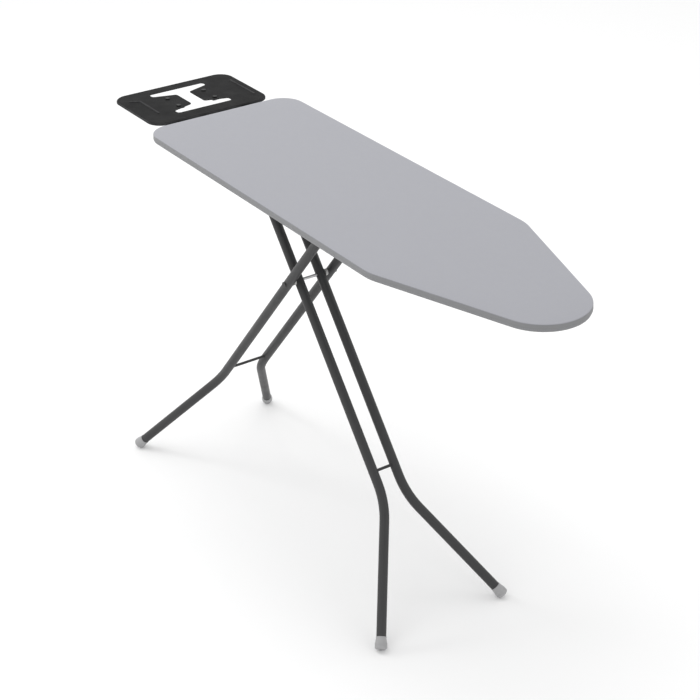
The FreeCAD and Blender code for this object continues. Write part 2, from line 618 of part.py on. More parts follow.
def make_spring():
    """Closed torsion coil on the bar's pin, between the rear ear and the bar."""
    helix = doc.addObject("Part::Helix", "spring_path")
    bind(helix, Radius="spring_radius", Pitch="spring_pitch", Height="spring_length")
    wire = doc.addObject("Part::Circle", "spring_section")
    bind(wire, Radius="spring_wire")
    wire.Placement = Placement(Vector(dim("spring_radius"), 0, 0), Rotation(Vector(1, 0, 0), 90))
    coil = doc.addObject("Part::Sweep", "lever_spring")
    coil.Sections = [wire]
    coil.Spine = (helix, ["Edge1"])
    coil.Solid = True
    coil.Frenet = True
    start = dim("ear_rear") + dim("ear_sheet") + 2 * dim("spring_wire")
    keep(coil, "lever_spring", Placement(Vector(start, dim("pin_side"), BAR_PIN_Z), ALONG_X))


# ---------------------------------------------------------------- iron rest
def rounded_sketch(body, name, inset):
    """Rounded rectangle for the rest's tray, set in by a cell of the sheet or not at all."""
    sketch = new_sketch(body, name, "XY_Plane")
    offset = dim(inset) if inset else 0
    radius = dim("rest_corner") - offset
    x = dim("rest_length") / 2 - offset
    y = dim("rest_half_width") - offset
    up = Vector(0, 0, 1)
    quarter = math.pi / 2
    corners = [(1, 1), (-1, 1), (-1, -1), (1, -1)]
    centres = [Vector(sx * (x - radius), sy * (y - radius), 0) for sx, sy in corners]
    arcs = []
    for number, centre in enumerate(centres):
        whole = Part.Circle(centre, up, radius)
        arcs.append(Part.ArcOfCircle(whole, number * quarter, (number + 1) * quarter))
    geometry = []
    for number, arc in enumerate(arcs):
        geometry.append(arc)
        geometry.append(Part.LineSegment(arc.EndPoint, arcs[(number + 1) % 4].StartPoint))
    sketch.addGeometry(geometry)
    for number in range(8):
        sketch.addConstraint(Sketcher.Constraint("Tangent", number, 2, (number + 1) % 8, 1))
    for number, kind in ((1, "Horizontal"), (3, "Vertical")):
        sketch.addConstraint(Sketcher.Constraint(kind, number))
    for number in (2, 4, 6):
        sketch.addConstraint(Sketcher.Constraint("Equal", 0, number))
    sketch.addConstraint(Sketcher.Constraint("Symmetric", 0, 3, 4, 3, -1, 1))
    corner = f"rest_corner - {inset}" if inset else "rest_corner"
    measure(sketch, "corner", corner, "Radius", 0, radius)
    measure(sketch, "half_x", "rest_length / 2 - rest_corner", "DistanceX", -1, 1, 0, 3, x - radius)
    measure(sketch, "half_y", "rest_half_width - rest_corner", "DistanceY", -1, 1, 0, 3, y - radius)
    return sketch


def cutout_sketch(body):
    """Two cross slots joined by a web opening; the slots widen toward the web."""
    sketch = new_sketch(body, "rest_cutout", "XY_Plane")
    quarter = [("cut_half", "cut_half_width"), ("cut_half - cut_slot", "cut_half_width"),
               ("cut_half - cut_flare", "cut_web")]
    corners = []
    for sx, sy, route in ((1, 1, quarter), (-1, 1, quarter[::-1]), (-1, -1, quarter), (1, -1, quarter[::-1])):
        corners += [(sx, sy, x, y) for x, y in route]
    points = [Vector(dim("cut_back") + sx * value_of(x), sy * value_of(y), 0) for sx, sy, x, y in corners]
    count = len(corners)
    for number, point in enumerate(points):
        sketch.addGeometry(Part.LineSegment(point, points[(number + 1) % count]))
    for number, (sx, sy, x, y) in enumerate(corners):
        sketch.addConstraint(Sketcher.Constraint("Coincident", number, 2, (number + 1) % count, 1))
        measure(sketch, f"x{number}", f"cut_back + {sx} * ({x})", "DistanceX", -1, 1, number, 1,
                points[number].x)
        measure(sketch, f"y{number}", f"{sy} * ({y})", "DistanceY", -1, 1, number, 1, points[number].y)
    return sketch


def edges_where(shape, test):
    """Names of the edges whose every point passes a test."""
    names = []
    for number, edge in enumerate(shape.Edges, start=1):
        points = edge.discretize(3)
        if all(test(point) for point in points):
            names.append(f"Edge{number}")
    return names


def make_rest_plate():
    """Pressed tray with a skirt turned down, an open stamping, and four screw holes."""
    body = doc.addObject("PartDesign::Body", "rest_tray")
    depth = dim("rest_depth")
    tall = body.newObject("PartDesign::Pad", "tray_block")
    tall.Profile = rounded_sketch(body, "tray_outline", None)
    bind(tall, Length="rest_depth")
    doc.recompute()
    outer = body.newObject("PartDesign::Fillet", "tray_edge")
    outer.Base = (tall, edges_where(tall.Shape, lambda p: abs(p.z - depth) < 0.01))
    bind(outer, Radius="rest_edge")
    doc.recompute()
    hollow = body.newObject("PartDesign::Pocket", "tray_hollow")
    hollow.Profile = rounded_sketch(body, "tray_inside", "rest_sheet")
    hollow.Reversed = True
    bind(hollow, Length="rest_depth - rest_sheet")
    doc.recompute()
    inside = dim("rest_length") / 2 - 2 * dim("rest_sheet")
    roof = depth - dim("rest_sheet")
    soften = body.newObject("PartDesign::Fillet", "tray_inner_edge")
    soften.Base = (hollow, edges_where(hollow.Shape, lambda p: abs(p.z - roof) < 0.01))
    bind(soften, Radius="rest_edge - rest_sheet")
    doc.recompute()
    opening = body.newObject("PartDesign::Pocket", "tray_opening")
    opening.Profile = cutout_sketch(body)
    opening.Reversed = True
    bind(opening, Length="rest_depth")
    doc.recompute()
    rounding = body.newObject("PartDesign::Fillet", "tray_opening_rounds")
    across = dim("rest_half_width") / 2
    inner = edges_where(opening.Shape, lambda p: abs(p.x) < inside and abs(p.y) < across)
    rounding.Base = (opening, [name for name in inner if is_upright(opening.Shape, name)])
    bind(rounding, Radius="cut_round")
    doc.recompute()
    low = REST_TOP - depth
    body.Placement = Placement(Vector(REST_MIDDLE, 0, low), UPRIGHT)
    tray = fuse("tray_with_beads", [body] + rest_beads())
    holes = group("tray_holes", [screw_solid(f"tray_hole_{number}", x, y, low, "screw_radius", "rest_depth")
                                 for number, (x, y) in enumerate(screw_places())])
    keep(cut("iron_rest_plate", tray, holes), "iron_rest_plate")


def is_upright(shape, name):
    """True for an edge along Z."""
    edge = shape.getElement(name)
    first, last = edge.Vertexes[0].Point, edge.Vertexes[-1].Point
    return abs(first.x - last.x) < 0.01 and abs(first.y - last.y) < 0.01


def screw_places():
    """Screw positions on the iron rest, two on each support arm."""
    return [(REST_MIDDLE + sx * dim("screw_x"), sy * dim("screw_y")) for sx in (-1, 1) for sy in (-1, 1)]


def screw_solid(name, x, y, z, radius, height):
    """Upright cylinder at a screw's place."""
    return cylinder(name, Vector(x, y, z), Radius=radius, Height=height)


def rest_beads():
    """Low round beads pressed up along the two ends of the tray; the left one hooks outward."""
    radius = dim("bead_radius")
    sunk = REST_TOP - radius / 2
    rear = REST_MIDDLE + dim("bead_rear")
    front = REST_MIDDLE + dim("bead_front")
    beads = []
    hook = Vector(rear - dim("bead_hook") / 2, dim("bead_left_y") - dim("bead_hook"), sunk)
    left = [hook, Vector(rear, dim("bead_left_y"), sunk), Vector(front, dim("bead_left_y"), sunk)]
    right = [Vector(rear, dim("bead_right_y"), sunk),
             Vector(front + dim("bead_hook"), dim("bead_right_y"), sunk)]
    for side, route in (("left", left), ("right", right)):
        rounds = [sphere_at(f"bead_{side}_{number}", point) for number, point in enumerate(route)]
        runs = []
        for number, (begin, end) in enumerate(zip(route, route[1:])):
            run = doc.addObject("Part::Cylinder", f"bead_{side}_run_{number}")
            bind(run, Radius="bead_radius")
            run.Height = (end - begin).Length
            run.Placement = Placement(begin, Rotation(Vector(0, 0, 1), end - begin))
            runs.append(run)
        whole = fuse(f"bead_{side}_whole", rounds + runs)
        above = box(f"bead_{side}_above", Vector(REST_MIDDLE - dim("rest_length") / 2,
                                                 -dim("rest_half_width"), REST_UNDER),
                    Length="rest_length", Width="2 * rest_half_width", Height="rest_depth")
        crest = doc.addObject("Part::Common", f"bead_{side}")
        crest.Base = whole
        crest.Tool = above
        beads.append(crest)
    return beads


def sphere_at(name, point):
    """Rounded end of a bead."""
    ball = doc.addObject("Part::Sphere", name)
    bind(ball, Radius="bead_radius")
    ball.Placement = Placement(point, UPRIGHT)
    return ball


def make_rest_arms():
    """Joggled flat arms from the rear cross plate out under the tray, each with a tab for two screws."""
    body = doc.addObject("PartDesign::Body", "rest_arm_strip_left")
    low = PLATE_BOTTOM
    high = REST_UNDER
    thick = dim("rest_arm_sheet")
    top = [Vector(dim("rest_arm_front"), low, 0), Vector(dim("rest_arm_low"), low, 0),
           Vector(dim("rest_arm_low") - dim("rest_arm_rise"), high, 0), Vector(dim("rest_arm_tip"), high, 0)]
    ring = top + [point - Vector(0, thick, 0) for point in reversed(top)]
    sketch = new_sketch(body, "rest_arm_side", "XZ_Plane")
    count = len(ring)
    formulas_x = ["rest_arm_front", "rest_arm_low", "rest_arm_low - rest_arm_rise", "rest_arm_tip"]
    lowered = "top_height - cover_sheet - pad_thick - deck_sheet - rail_depth - plate_sheet"
    raised = "top_height - rest_drop - rest_sheet"
    formulas_z = [lowered, lowered, raised, raised]
    formulas = list(zip(formulas_x, formulas_z))
    formulas += [(x, f"{z} - rest_arm_sheet") for x, z in reversed(formulas)]
    for number, point in enumerate(ring):
        sketch.addGeometry(Part.LineSegment(point, ring[(number + 1) % count]))
    for number, (x, z) in enumerate(formulas):
        sketch.addConstraint(Sketcher.Constraint("Coincident", number, 2, (number + 1) % count, 1))
        measure(sketch, f"x{number}", x, "DistanceX", -1, 1, number, 1, ring[number].x)
        measure(sketch, f"z{number}", z, "DistanceY", -1, 1, number, 1, ring[number].y)
    strip = body.newObject("PartDesign::Pad", "rest_arm_strip")
    strip.Profile = sketch
    strip.Midplane = True
    bind(strip, Length="rest_arm_width")
    doc.recompute()
    body.Placement = Placement(Vector(0, dim("rest_arm_y"), 0), UPRIGHT)
    tab = box("rest_arm_tab", Vector(REST_MIDDLE - dim("rest_tab_half"), dim("rest_tab_inner"),
                                     REST_UNDER - thick),
              Length="2 * rest_tab_half", Width="rest_arm_y - rest_tab_inner", Height="rest_arm_sheet")
    places = [(x, y) for x, y in screw_places() if y > 0]
    holes = [screw_solid(f"arm_hole_{number}", x, y, REST_UNDER - thick, "screw_radius", "rest_arm_sheet")
             for number, (x, y) in enumerate(places)]
    holes += [screw_solid(f"arm_rivet_hole_{number}", x, y, PLATE_BOTTOM - thick, "rivet_radius",
                          "rest_arm_sheet") for number, (x, y) in enumerate(rivet_places()) if y > 0]
    left = cut("rest_arm_left_drilled", fuse("rest_arm_left_blank", [body, tab]), group("arm_holes", holes))
    mirrored(keep(left, "rest_arm_left"), "rest_arm_right")


def rivet_places():
    """Two rivets on each arm under the rear cross plate."""
    middle = dim("rest_arm_front") - dim("bracket_half")
    half = dim("bracket_half") / 2
    return [(middle + sx * half, sy * dim("rest_arm_y")) for sx in (-1, 1) for sy in (-1, 1)]


def make_fasteners():
    """Screws and nuts of the iron rest, and the rivets of its arms."""
    screws = []
    nuts = []
    stack = dim("rest_sheet") + dim("rest_arm_sheet") + dim("nut_height")
    for number, (x, y) in enumerate(screw_places()):
        shank = screw_solid(f"screw_shank_{number}", x, y, REST_TOP - stack, "screw_radius",
                            "rest_sheet + rest_arm_sheet + nut_height")
        head = screw_solid(f"screw_head_{number}", x, y, REST_TOP, "head_radius", "head_height")
        screws.append(fuse(f"screw_{number}", [shank, head]))
        prism = doc.addObject("Part::Prism", f"nut_blank_{number}")
        prism.Polygon = 6
        bind(prism, Circumradius="nut_flats / sqrt(3)", Height="nut_height")
        prism.Placement = Placement(Vector(x, y, REST_TOP - stack), UPRIGHT)
        bore = screw_solid(f"nut_bore_{number}", x, y, REST_TOP - stack, "screw_radius", "nut_height")
        nuts.append(cut(f"nut_{number}", prism, bore))
    keep(group("rest_screws", screws), "rest_screws")
    keep(group("rest_nuts", nuts), "rest_nuts")
    rivets = []
    low = PLATE_BOTTOM - dim("rest_arm_sheet")
    for number, (x, y) in enumerate(rivet_places()):
        shank = screw_solid(f"rivet_shank_{number}", x, y, low, "rivet_radius", "rest_arm_sheet")
        head = screw_solid(f"rivet_head_{number}", x, y, low - dim("rivet_rise"), "rivet_head", "rivet_rise")
        rivets.append(fuse(f"rivet_{number}", [shank, head]))
    keep(group("arm_rivets", rivets), "arm_rivets")


make_cover()
make_deck()
make_rails()
make_hinge_bracket()
make_guides()
make_cross_plates()
make_front_leg()
make_rear_leg()
make_release()
make_rest_plate()
make_rest_arms()
make_fasteners()
doc.recompute()

failed = [item.Name for item in doc.Objects if "Invalid" in item.State or "Error" in item.State]
bad = [item.Label for item in nodes if item.Shape.isNull() or not item.Shape.isValid()]
if failed or bad:
    raise RuntimeError(f"failed objects {failed}, bad shapes {bad}")

os.makedirs("parts", exist_ok=True)
for item in nodes:
    item.Shape.exportStep(f"parts/{item.Label}.step")
    box_of = item.Shape.optimalBoundingBox(False, False)
    print(f"{item.Label:20s} solids {len(item.Shape.Solids)} volume {item.Shape.Volume / 1000:9.2f} cm3 "
          f"x {box_of.XMin:8.1f} {box_of.XMax:8.1f} y {box_of.YMin:7.1f} {box_of.YMax:7.1f} "
          f"z {box_of.ZMin:7.1f} {box_of.ZMax:7.1f}")
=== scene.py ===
import json
import math

import bmesh
import bpy
from mathutils import Euler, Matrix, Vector, noise


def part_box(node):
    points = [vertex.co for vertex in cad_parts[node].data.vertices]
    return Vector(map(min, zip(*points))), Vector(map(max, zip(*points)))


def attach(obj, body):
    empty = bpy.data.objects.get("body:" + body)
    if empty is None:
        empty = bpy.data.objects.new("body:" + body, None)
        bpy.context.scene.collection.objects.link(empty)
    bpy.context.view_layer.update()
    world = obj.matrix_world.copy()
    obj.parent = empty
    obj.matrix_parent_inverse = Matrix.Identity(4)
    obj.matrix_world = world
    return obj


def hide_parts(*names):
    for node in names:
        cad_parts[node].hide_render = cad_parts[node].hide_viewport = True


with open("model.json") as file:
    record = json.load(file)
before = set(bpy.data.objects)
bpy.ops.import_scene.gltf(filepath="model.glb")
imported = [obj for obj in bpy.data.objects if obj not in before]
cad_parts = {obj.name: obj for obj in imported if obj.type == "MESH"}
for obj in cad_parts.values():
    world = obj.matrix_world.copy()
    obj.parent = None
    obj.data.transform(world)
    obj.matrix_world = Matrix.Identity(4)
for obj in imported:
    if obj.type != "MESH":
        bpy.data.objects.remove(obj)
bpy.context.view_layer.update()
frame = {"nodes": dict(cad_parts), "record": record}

# ---------------------------------------------------------------- sizes of the object, metres
TOP_LOW, TOP_HIGH = (Vector(corner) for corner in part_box("cover_top"))
BAND_LOW, BAND_HIGH = (Vector(corner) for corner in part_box("cover_border"))
PAD_LOW, PAD_HIGH = (Vector(corner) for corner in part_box("felt_pad"))
REAR_END = TOP_LOW.x
NOSE_END = TOP_HIGH.x
HALF_WIDTH = TOP_HIGH.y
CORNER_RADIUS = 0.046
SHOULDER_START = 0.750
SHOULDER_RADIUS = 0.080
NOSE_RADIUS = 0.086
SPINE_REAR = REAR_END + HALF_WIDTH
SPINE_FRONT = NOSE_END - NOSE_RADIUS
LEG_ANGLE = math.radians(51)
TUBE_RADIUS = 0.0095
BEAD_RISE = 0.0016
TUBE_OVERHANG = 0.012
FOOT_RING_HEIGHT = 0.009
LEGS = {"front": {"tube_y": 0.0251, "bend": 0.722, "foot_y": 0.1464},
        "rear": {"tube_y": 0.0493, "bend": 0.702, "foot_y": 0.1694}}


# ---------------------------------------------------------------- outline of the board
def outline(step):
    """Points and outward normals round the board, counter-clockwise from the rear end."""
    half = HALF_WIDTH
    nose = Vector((SPINE_FRONT, 0))
    shoulder = Vector((REAR_END + SHOULDER_START, half - SHOULDER_RADIUS))
    corner = Vector((REAR_END + CORNER_RADIUS, half - CORNER_RADIUS))
    gap = nose - shoulder
    lift = math.acos((SHOULDER_RADIUS - NOSE_RADIUS) / gap.length)
    taper = math.atan2(gap.y, gap.x) + lift
    quarter = math.pi / 2
    arcs = [(Vector((corner.x, -corner.y)), CORNER_RADIUS, 2 * quarter, 3 * quarter),
            (Vector((shoulder.x, -shoulder.y)), SHOULDER_RADIUS, 3 * quarter, 4 * quarter - taper),
            (nose, NOSE_RADIUS, -taper, taper),
            (shoulder, SHOULDER_RADIUS, taper, quarter),
            (corner, CORNER_RADIUS, quarter, 2 * quarter)]
    points = []
    for number, (centre, radius, start, end) in enumerate(arcs):
        count = max(4, math.ceil(radius * (end - start) / step))
        for k in range(count + 1):
            angle = start + (end - start) * k / count
            normal = Vector((math.cos(angle), math.sin(angle)))
            points.append((centre + normal * radius, normal))
        after, next_radius, next_start = arcs[(number + 1) % len(arcs)][:3]
        goal = after + Vector((math.cos(next_start), math.sin(next_start))) * next_radius
        here, normal = points[-1]
        count = max(1, round((goal - here).length / step))
        for k in range(1, count):
            points.append((here.lerp(goal, k / count), normal))
    return points


def spine_point(point):
    """Nearest point of the board's middle line."""
    return Vector((min(max(point.x, SPINE_REAR), SPINE_FRONT), 0))


def ring(points, inset, height):
    """One loop of the outline, set in by a distance, at a height."""
    return [Vector((*(point - normal * inset), height)) for point, normal in points]


def inner_rings(points, inset, height, count):
    """Loops from an inset loop to the middle line."""
    start = ring(points, inset, height)
    goals = [spine_point(point) for point, _ in points]
    return [[a.lerp(Vector((*goal, height)), k / count) for a, goal in zip(start, goals)]
            for k in range(1, count + 1)]


def skin(name, loops, merge=0.0):
    """Mesh object of quads between closed loops of equal length."""
    mesh = bpy.data.meshes.new(name)
    size = len(loops[0])
    verts = [vert for loop in loops for vert in loop]
    faces = []
    for level in range(len(loops) - 1):
        low = level * size
        for k in range(size):
            after = (k + 1) % size
            faces.append((low + k, low + after, low + size + after, low + size + k))
    mesh.from_pydata(verts, [], faces)
    piece = bpy.data.objects.new(name, mesh)
    bpy.context.scene.collection.objects.link(piece)
    if merge:
        clean = bmesh.new()
        clean.from_mesh(mesh)
        bmesh.ops.remove_doubles(clean, verts=clean.verts, dist=merge)
        bmesh.ops.dissolve_degenerate(clean, edges=clean.edges, dist=merge)
        bmesh.ops.recalc_face_normals(clean, faces=clean.faces)
        clean.to_mesh(mesh)
        clean.free()
    smooth(piece)
    return piece


def smooth(piece):
    """Smooth shading."""
    piece.data.polygons.foreach_set("use_smooth", [True] * len(piece.data.polygons))


def apply_modifiers(piece):
    """Replace a piece's mesh by its evaluated form and drop its modifiers."""
    shaped = bpy.data.meshes.new_from_object(
        piece.evaluated_get(bpy.context.evaluated_depsgraph_get()))
    piece.modifiers.clear()
    piece.data = shaped
    smooth(piece)


# ---------------------------------------------------------------- materials
class Shader:
    """A principled material built node by node."""

    def __init__(self, name, colour, roughness, **sockets):
        self.material = bpy.data.materials.new(name)
        self.material.use_nodes = True
        self.tree = self.material.node_tree
        self.main = self.tree.nodes["Principled BSDF"]
        self.main.inputs["Base Color"].default_value = (*colour, 1)
        self.main.inputs["Roughness"].default_value = roughness
        for socket, value in sockets.items():
            self.main.inputs[socket.replace("_", " ")].default_value = value
        self.colour = colour
        self.where = self.tree.nodes.new("ShaderNodeTexCoord").outputs["Object"]

    def link(self, source, target):
        """Join two sockets."""
        self.tree.links.new(source, target)

    def stretched(self, scale, turn=(0, 0, 0)):
        """Object coordinates scaled by three factors and turned."""
        node = self.tree.nodes.new("ShaderNodeMapping")
        node.inputs["Scale"].default_value = scale
        node.inputs["Rotation"].default_value = turn
        self.link(self.where, node.inputs["Vector"])
        return node.outputs["Vector"]

    def noise(self, scale, detail=3, roughness=0.55, where=None):
        """Noise value."""
        node = self.tree.nodes.new("ShaderNodeTexNoise")
        node.inputs["Scale"].default_value = scale
        node.inputs["Detail"].default_value = detail
        node.inputs["Roughness"].default_value = roughness
        self.link(where or self.where, node.inputs["Vector"])
        return node.outputs["Fac"]

    def ramp(self, source, low, high):
        """Value stretched so that low gives 0 and high gives 1."""
        node = self.tree.nodes.new("ShaderNodeMapRange")
        node.inputs["From Min"].default_value = low
        node.inputs["From Max"].default_value = high
        self.link(source, node.inputs["Value"])
        return node.outputs["Result"]

    def math(self, kind, *values):
        """Arithmetic on values or sockets."""
        node = self.tree.nodes.new("ShaderNodeMath")
        node.operation = kind
        for slot, value in zip(node.inputs, values):
            if isinstance(value, (int, float)):
                slot.default_value = value
            else:
                self.link(value, slot)
        return node.outputs["Value"]

    def tint(self, factor, other, strength=1.0):
        """Mix another colour over the base by a factor."""
        node = self.tree.nodes.new("ShaderNodeMix")
        node.data_type = "RGBA"
        scaled = self.math("MULTIPLY", factor, strength)
        self.link(scaled, node.inputs["Factor"])
        base = self.main.inputs["Base Color"]
        if base.is_linked:
            self.link(base.links[0].from_socket, node.inputs["A"])
        else:
            node.inputs["A"].default_value = base.default_value
        node.inputs["B"].default_value = (*other, 1)
        self.link(node.outputs["Result"], base)

    def rough(self, factor, low, high):
        """Roughness from low to high by a factor."""
        node = self.tree.nodes.new("ShaderNodeMapRange")
        node.inputs["To Min"].default_value = low
        node.inputs["To Max"].default_value = high
        self.link(factor, node.inputs["Value"])
        self.link(node.outputs["Result"], self.main.inputs["Roughness"])

    def bump(self, height, strength, depth):
        """Surface relief; a second call adds to the first."""
        node = self.tree.nodes.new("ShaderNodeBump")
        node.inputs["Strength"].default_value = strength
        node.inputs["Distance"].default_value = depth
        self.link(height, node.inputs["Height"])
        normal = self.main.inputs["Normal"]
        if normal.is_linked:
            self.link(normal.links[0].from_socket, node.inputs["Normal"])
        self.link(node.outputs["Normal"], normal)


def shade(colour, factor):
    """Colour times a factor."""
    return tuple(channel * factor for channel in colour)


def woven(name, colour, pitch, relief, turn=0.0):
    """Plain-weave cotton: crossing threads, slubs, a faint nap and a soft sheen."""
    cloth = Shader(name, colour, 0.78, Sheen_Weight=0.18, Sheen_Roughness=0.45, Specular_IOR_Level=0.35)
    where = cloth.stretched((1, 1, 1), (0, 0, turn))
    axes = cloth.tree.nodes.new("ShaderNodeSeparateXYZ")
    cloth.link(where, axes.inputs["Vector"])
    turns = 2 * math.pi / pitch
    up = cloth.math("MULTIPLY", axes.outputs["Z"], turns)
    warp = cloth.math("SINE", cloth.math("ADD", cloth.math("MULTIPLY", axes.outputs["X"], turns), up))
    weft = cloth.math("SINE", cloth.math("ADD", cloth.math("MULTIPLY", axes.outputs["Y"], turns), up))
    threads = cloth.math("MULTIPLY", warp, weft)
    cloth.bump(threads, relief, pitch / 4)
    cloth.tint(cloth.ramp(threads, -1, 1), shade(colour, 0.86), 0.35)
    slubs = cloth.noise(1, 4, 0.6, cloth.stretched((40, 900, 900)))
    cloth.tint(cloth.ramp(slubs, 0.55, 0.75), shade(colour, 1.12), 0.35)
    crossing = cloth.noise(1, 4, 0.6, cloth.stretched((900, 40, 900)))
    cloth.tint(cloth.ramp(crossing, 0.55, 0.75), shade(colour, 0.88), 0.30)
    cloudy = cloth.noise(7, 3)
    cloth.tint(cloth.ramp(cloudy, 0.35, 0.70), shade(colour, 0.96), 0.4)
    cloth.rough(cloth.noise(60, 3), 0.70, 0.86)
    return cloth.material


def felt(name, colour):
    """Needled felt: tangled short fibres."""
    pad = Shader(name, colour, 0.95, Sheen_Weight=0.3, Specular_IOR_Level=0.2)
    fibres = pad.noise(700, 6, 0.7)
    pad.bump(fibres, 0.6, 0.0008)
    pad.tint(pad.ramp(fibres, 0.4, 0.7), shade(colour, 0.7), 0.6)
    pad.tint(pad.ramp(pad.noise(160, 4), 0.6, 0.7), shade(colour, 0.45), 0.5)
    return pad.material


def powder_coat(name, colour, low, high, gloss):
    """Charcoal powder coat: fine orange peel, uneven gloss, faint rub marks and dust."""
    coat = Shader(name, colour, 0.45, Specular_IOR_Level=gloss)
    peel = coat.noise(1100, 2, 0.5)
    grain = coat.noise(3200, 2, 0.5)
    coat.bump(peel, 0.22, 0.00025)
    coat.bump(grain, 0.12, 0.0001)
    coat.tint(coat.ramp(grain, 0.5, 0.8), shade(colour, 1.5), 0.35)
    coat.tint(coat.ramp(coat.noise(9, 4), 0.40, 0.75), shade(colour, 1.18), 0.6)
    rubs = coat.noise(1, 5, 0.65, coat.stretched((70, 70, 9), (0.3, 0.2, 0.1)))
    coat.tint(coat.ramp(rubs, 0.66, 0.80), shade(colour, 2.2), 0.35)
    coat.rough(coat.ramp(coat.noise(30, 4), 0.3, 0.75), low, high)
    return coat


def rest_coat(name, colour):
    """Powder coat of the iron rest, with painted highlight on its beads and rolled edge: lighter colour there
    stands in for the light they catch.
    """
    coat = powder_coat(name, colour, 0.48, 0.62, 0.08)
    axes = coat.tree.nodes.new("ShaderNodeSeparateXYZ")
    coat.link(coat.where, axes.inputs["Vector"])
    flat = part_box("iron_rest_plate")[1][2] - BEAD_RISE
    off_flat = coat.math("ABSOLUTE", coat.math("SUBTRACT", axes.outputs["Z"], flat))
    # Painted highlight: the raised beads and the rolled edge, off the flat, are tinted much lighter in
    # patches to stand in for the light they catch.
    patches = coat.ramp(coat.noise(40, 5), 0.15, 0.6)
    painted_highlight = coat.math("MULTIPLY", coat.ramp(off_flat, 0.0001, 0.0010), patches)
    coat.tint(painted_highlight, shade(colour, 5.5), 0.75)
    return coat.material


def zinc(name, colour):
    """Zinc-plated steel with drawing lines and a dull bloom."""
    steel = Shader(name, colour, 0.32, Metallic=1.0)
    lines = steel.noise(1, 3, 0.6, steel.stretched((1800, 60, 1800)))
    steel.bump(lines, 0.10, 0.0001)
    steel.tint(steel.ramp(steel.noise(55, 5), 0.45, 0.75), shade(colour, 0.72), 0.6)
    steel.rough(steel.ramp(steel.noise(140, 4), 0.3, 0.7), 0.26, 0.46)
    return steel.material


def moulded(name, colour, low, high, grain=900):
    """Moulded plastic: spark-eroded grain, faint flow marks and scuffs."""
    plastic = Shader(name, colour, 0.5, Specular_IOR_Level=0.45)
    texture = plastic.noise(grain, 3, 0.6)
    plastic.bump(texture, 0.25, 0.0002)
    plastic.tint(plastic.ramp(plastic.noise(45, 4), 0.4, 0.75), shade(colour, 0.88), 0.6)
    scuffs = plastic.noise(1, 5, 0.7, plastic.stretched((90, 420, 90), (0.4, 0.1, 0.7)))
    plastic.tint(plastic.ramp(scuffs, 0.64, 0.78), shade(colour, 1.25), 0.5)
    plastic.rough(plastic.ramp(texture, 0.3, 0.7), low, high)
    return plastic.material


def rubber(name, colour):
    """Dense rubber with a fine matt skin."""
    pad = Shader(name, colour, 0.85, Specular_IOR_Level=0.3)
    pad.bump(pad.noise(1500, 3), 0.3, 0.0002)
    pad.tint(pad.ramp(pad.noise(120, 4), 0.5, 0.8), shade(colour, 1.8), 0.5)
    return pad.material


MATERIALS = {
    "cover_fabric": woven("cover_fabric", (0.322, 0.325, 0.353), 0.0009, 0.16),
    # The border fabric is the cover's cloth made darker: painted shade standing in for the lower light on the
    # upright band.
    "border_fabric": woven("border_fabric", (0.235, 0.237, 0.243), 0.0009, 0.20),
    "felt": felt("felt", (0.60, 0.58, 0.54)),
    "frame_steel": powder_coat("frame_steel", (0.037, 0.037, 0.038), 0.42, 0.54, 0.36).material,
    "rest_steel": rest_coat("rest_steel", (0.0095, 0.0095, 0.0098)),
    "foot_plastic": moulded("foot_plastic", (0.36, 0.36, 0.365), 0.42, 0.58),
    "bright_steel": zinc("bright_steel", (0.62, 0.62, 0.63)),
    "black_steel": powder_coat("black_steel", (0.006, 0.006, 0.006), 0.34, 0.46, 0.30).material,
    "dark_plastic": moulded("dark_plastic", (0.045, 0.045, 0.048), 0.40, 0.55),
    "spacer_plastic": moulded("spacer_plastic", (0.50, 0.50, 0.49), 0.38, 0.52),
    "pad_rubber": rubber("pad_rubber", (0.030, 0.030, 0.031)),
}


def dress(piece, slot):
    """Give a piece the material of one of the record's slots."""
    piece.data.materials.clear()
    piece.data.materials.append(MATERIALS[slot])
    return piece


def dress_frame():
    """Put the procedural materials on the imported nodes."""
    slots = {part["node"]: part["material_slot"] for part in frame["record"]["subparts"]}
    for node, piece in frame["nodes"].items():
        for holder in piece.material_slots:
            holder.material = MATERIALS[slots[node]]


# ---------------------------------------------------------------- soft parts
def wave(distance, seed, *parts):
    """Sum of sines along the edge, each part a length and a height."""
    return sum(height * math.sin(2 * math.pi * distance / length + seed * (k + 1))
               for k, (length, height) in enumerate(parts))


def travelled(points):
    """Distance along the outline at every point."""
    total = 0.0
    out = []
    for number, (point, _) in enumerate(points):
        out.append(total)
        total += (points[(number + 1) % len(points)][0] - point).length
    return out, total


PANEL_STEP = 0.005
PANEL_INSETS = (0.0045, 0.009, 0.0145, 0.020)
PANEL_HELD = 0.004
BAND_STEP = 0.0028
PANEL_CAP = 0.0016
GATHER_PITCH = 0.013
PUCKER_PITCH = 0.0065
EDGE_RADIUS = 0.0012
CLOTH_FRAMES = 20
CLOTH_PRESSURE = 4
WAVER_HEIGHT = 0.0002
WAVER_SCALE = 30
MERGE_DISTANCE = 1e-5


def edge_profile(top, count):
    """Inset and height pairs that round the top edge of the cover."""
    turns = [math.pi / 2 * k / count for k in range(count + 1)]
    return [(EDGE_RADIUS * (1 - math.cos(turn)), top - EDGE_RADIUS * (1 - math.sin(turn)))
            for turn in turns]


def make_cover_panel():
    """Top sheet of the cover: rounded over the edge, drawn tight and slightly crowned by its padding."""
    points = outline(PANEL_STEP)
    top = TOP_HIGH.z
    loops = [ring(points, inset, height) for inset, height in edge_profile(top, 4)]
    loops += [ring(points, inset, top) for inset in PANEL_INSETS]
    loops += inner_rings(points, PANEL_INSETS[-1], top, 30)
    panel = skin("cover_panel", loops, merge=MERGE_DISTANCE)
    inflate(panel, PANEL_CAP, PANEL_HELD)
    dress(panel, "cover_fabric")
    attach(panel, "board")
    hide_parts("cover_top")
    return panel


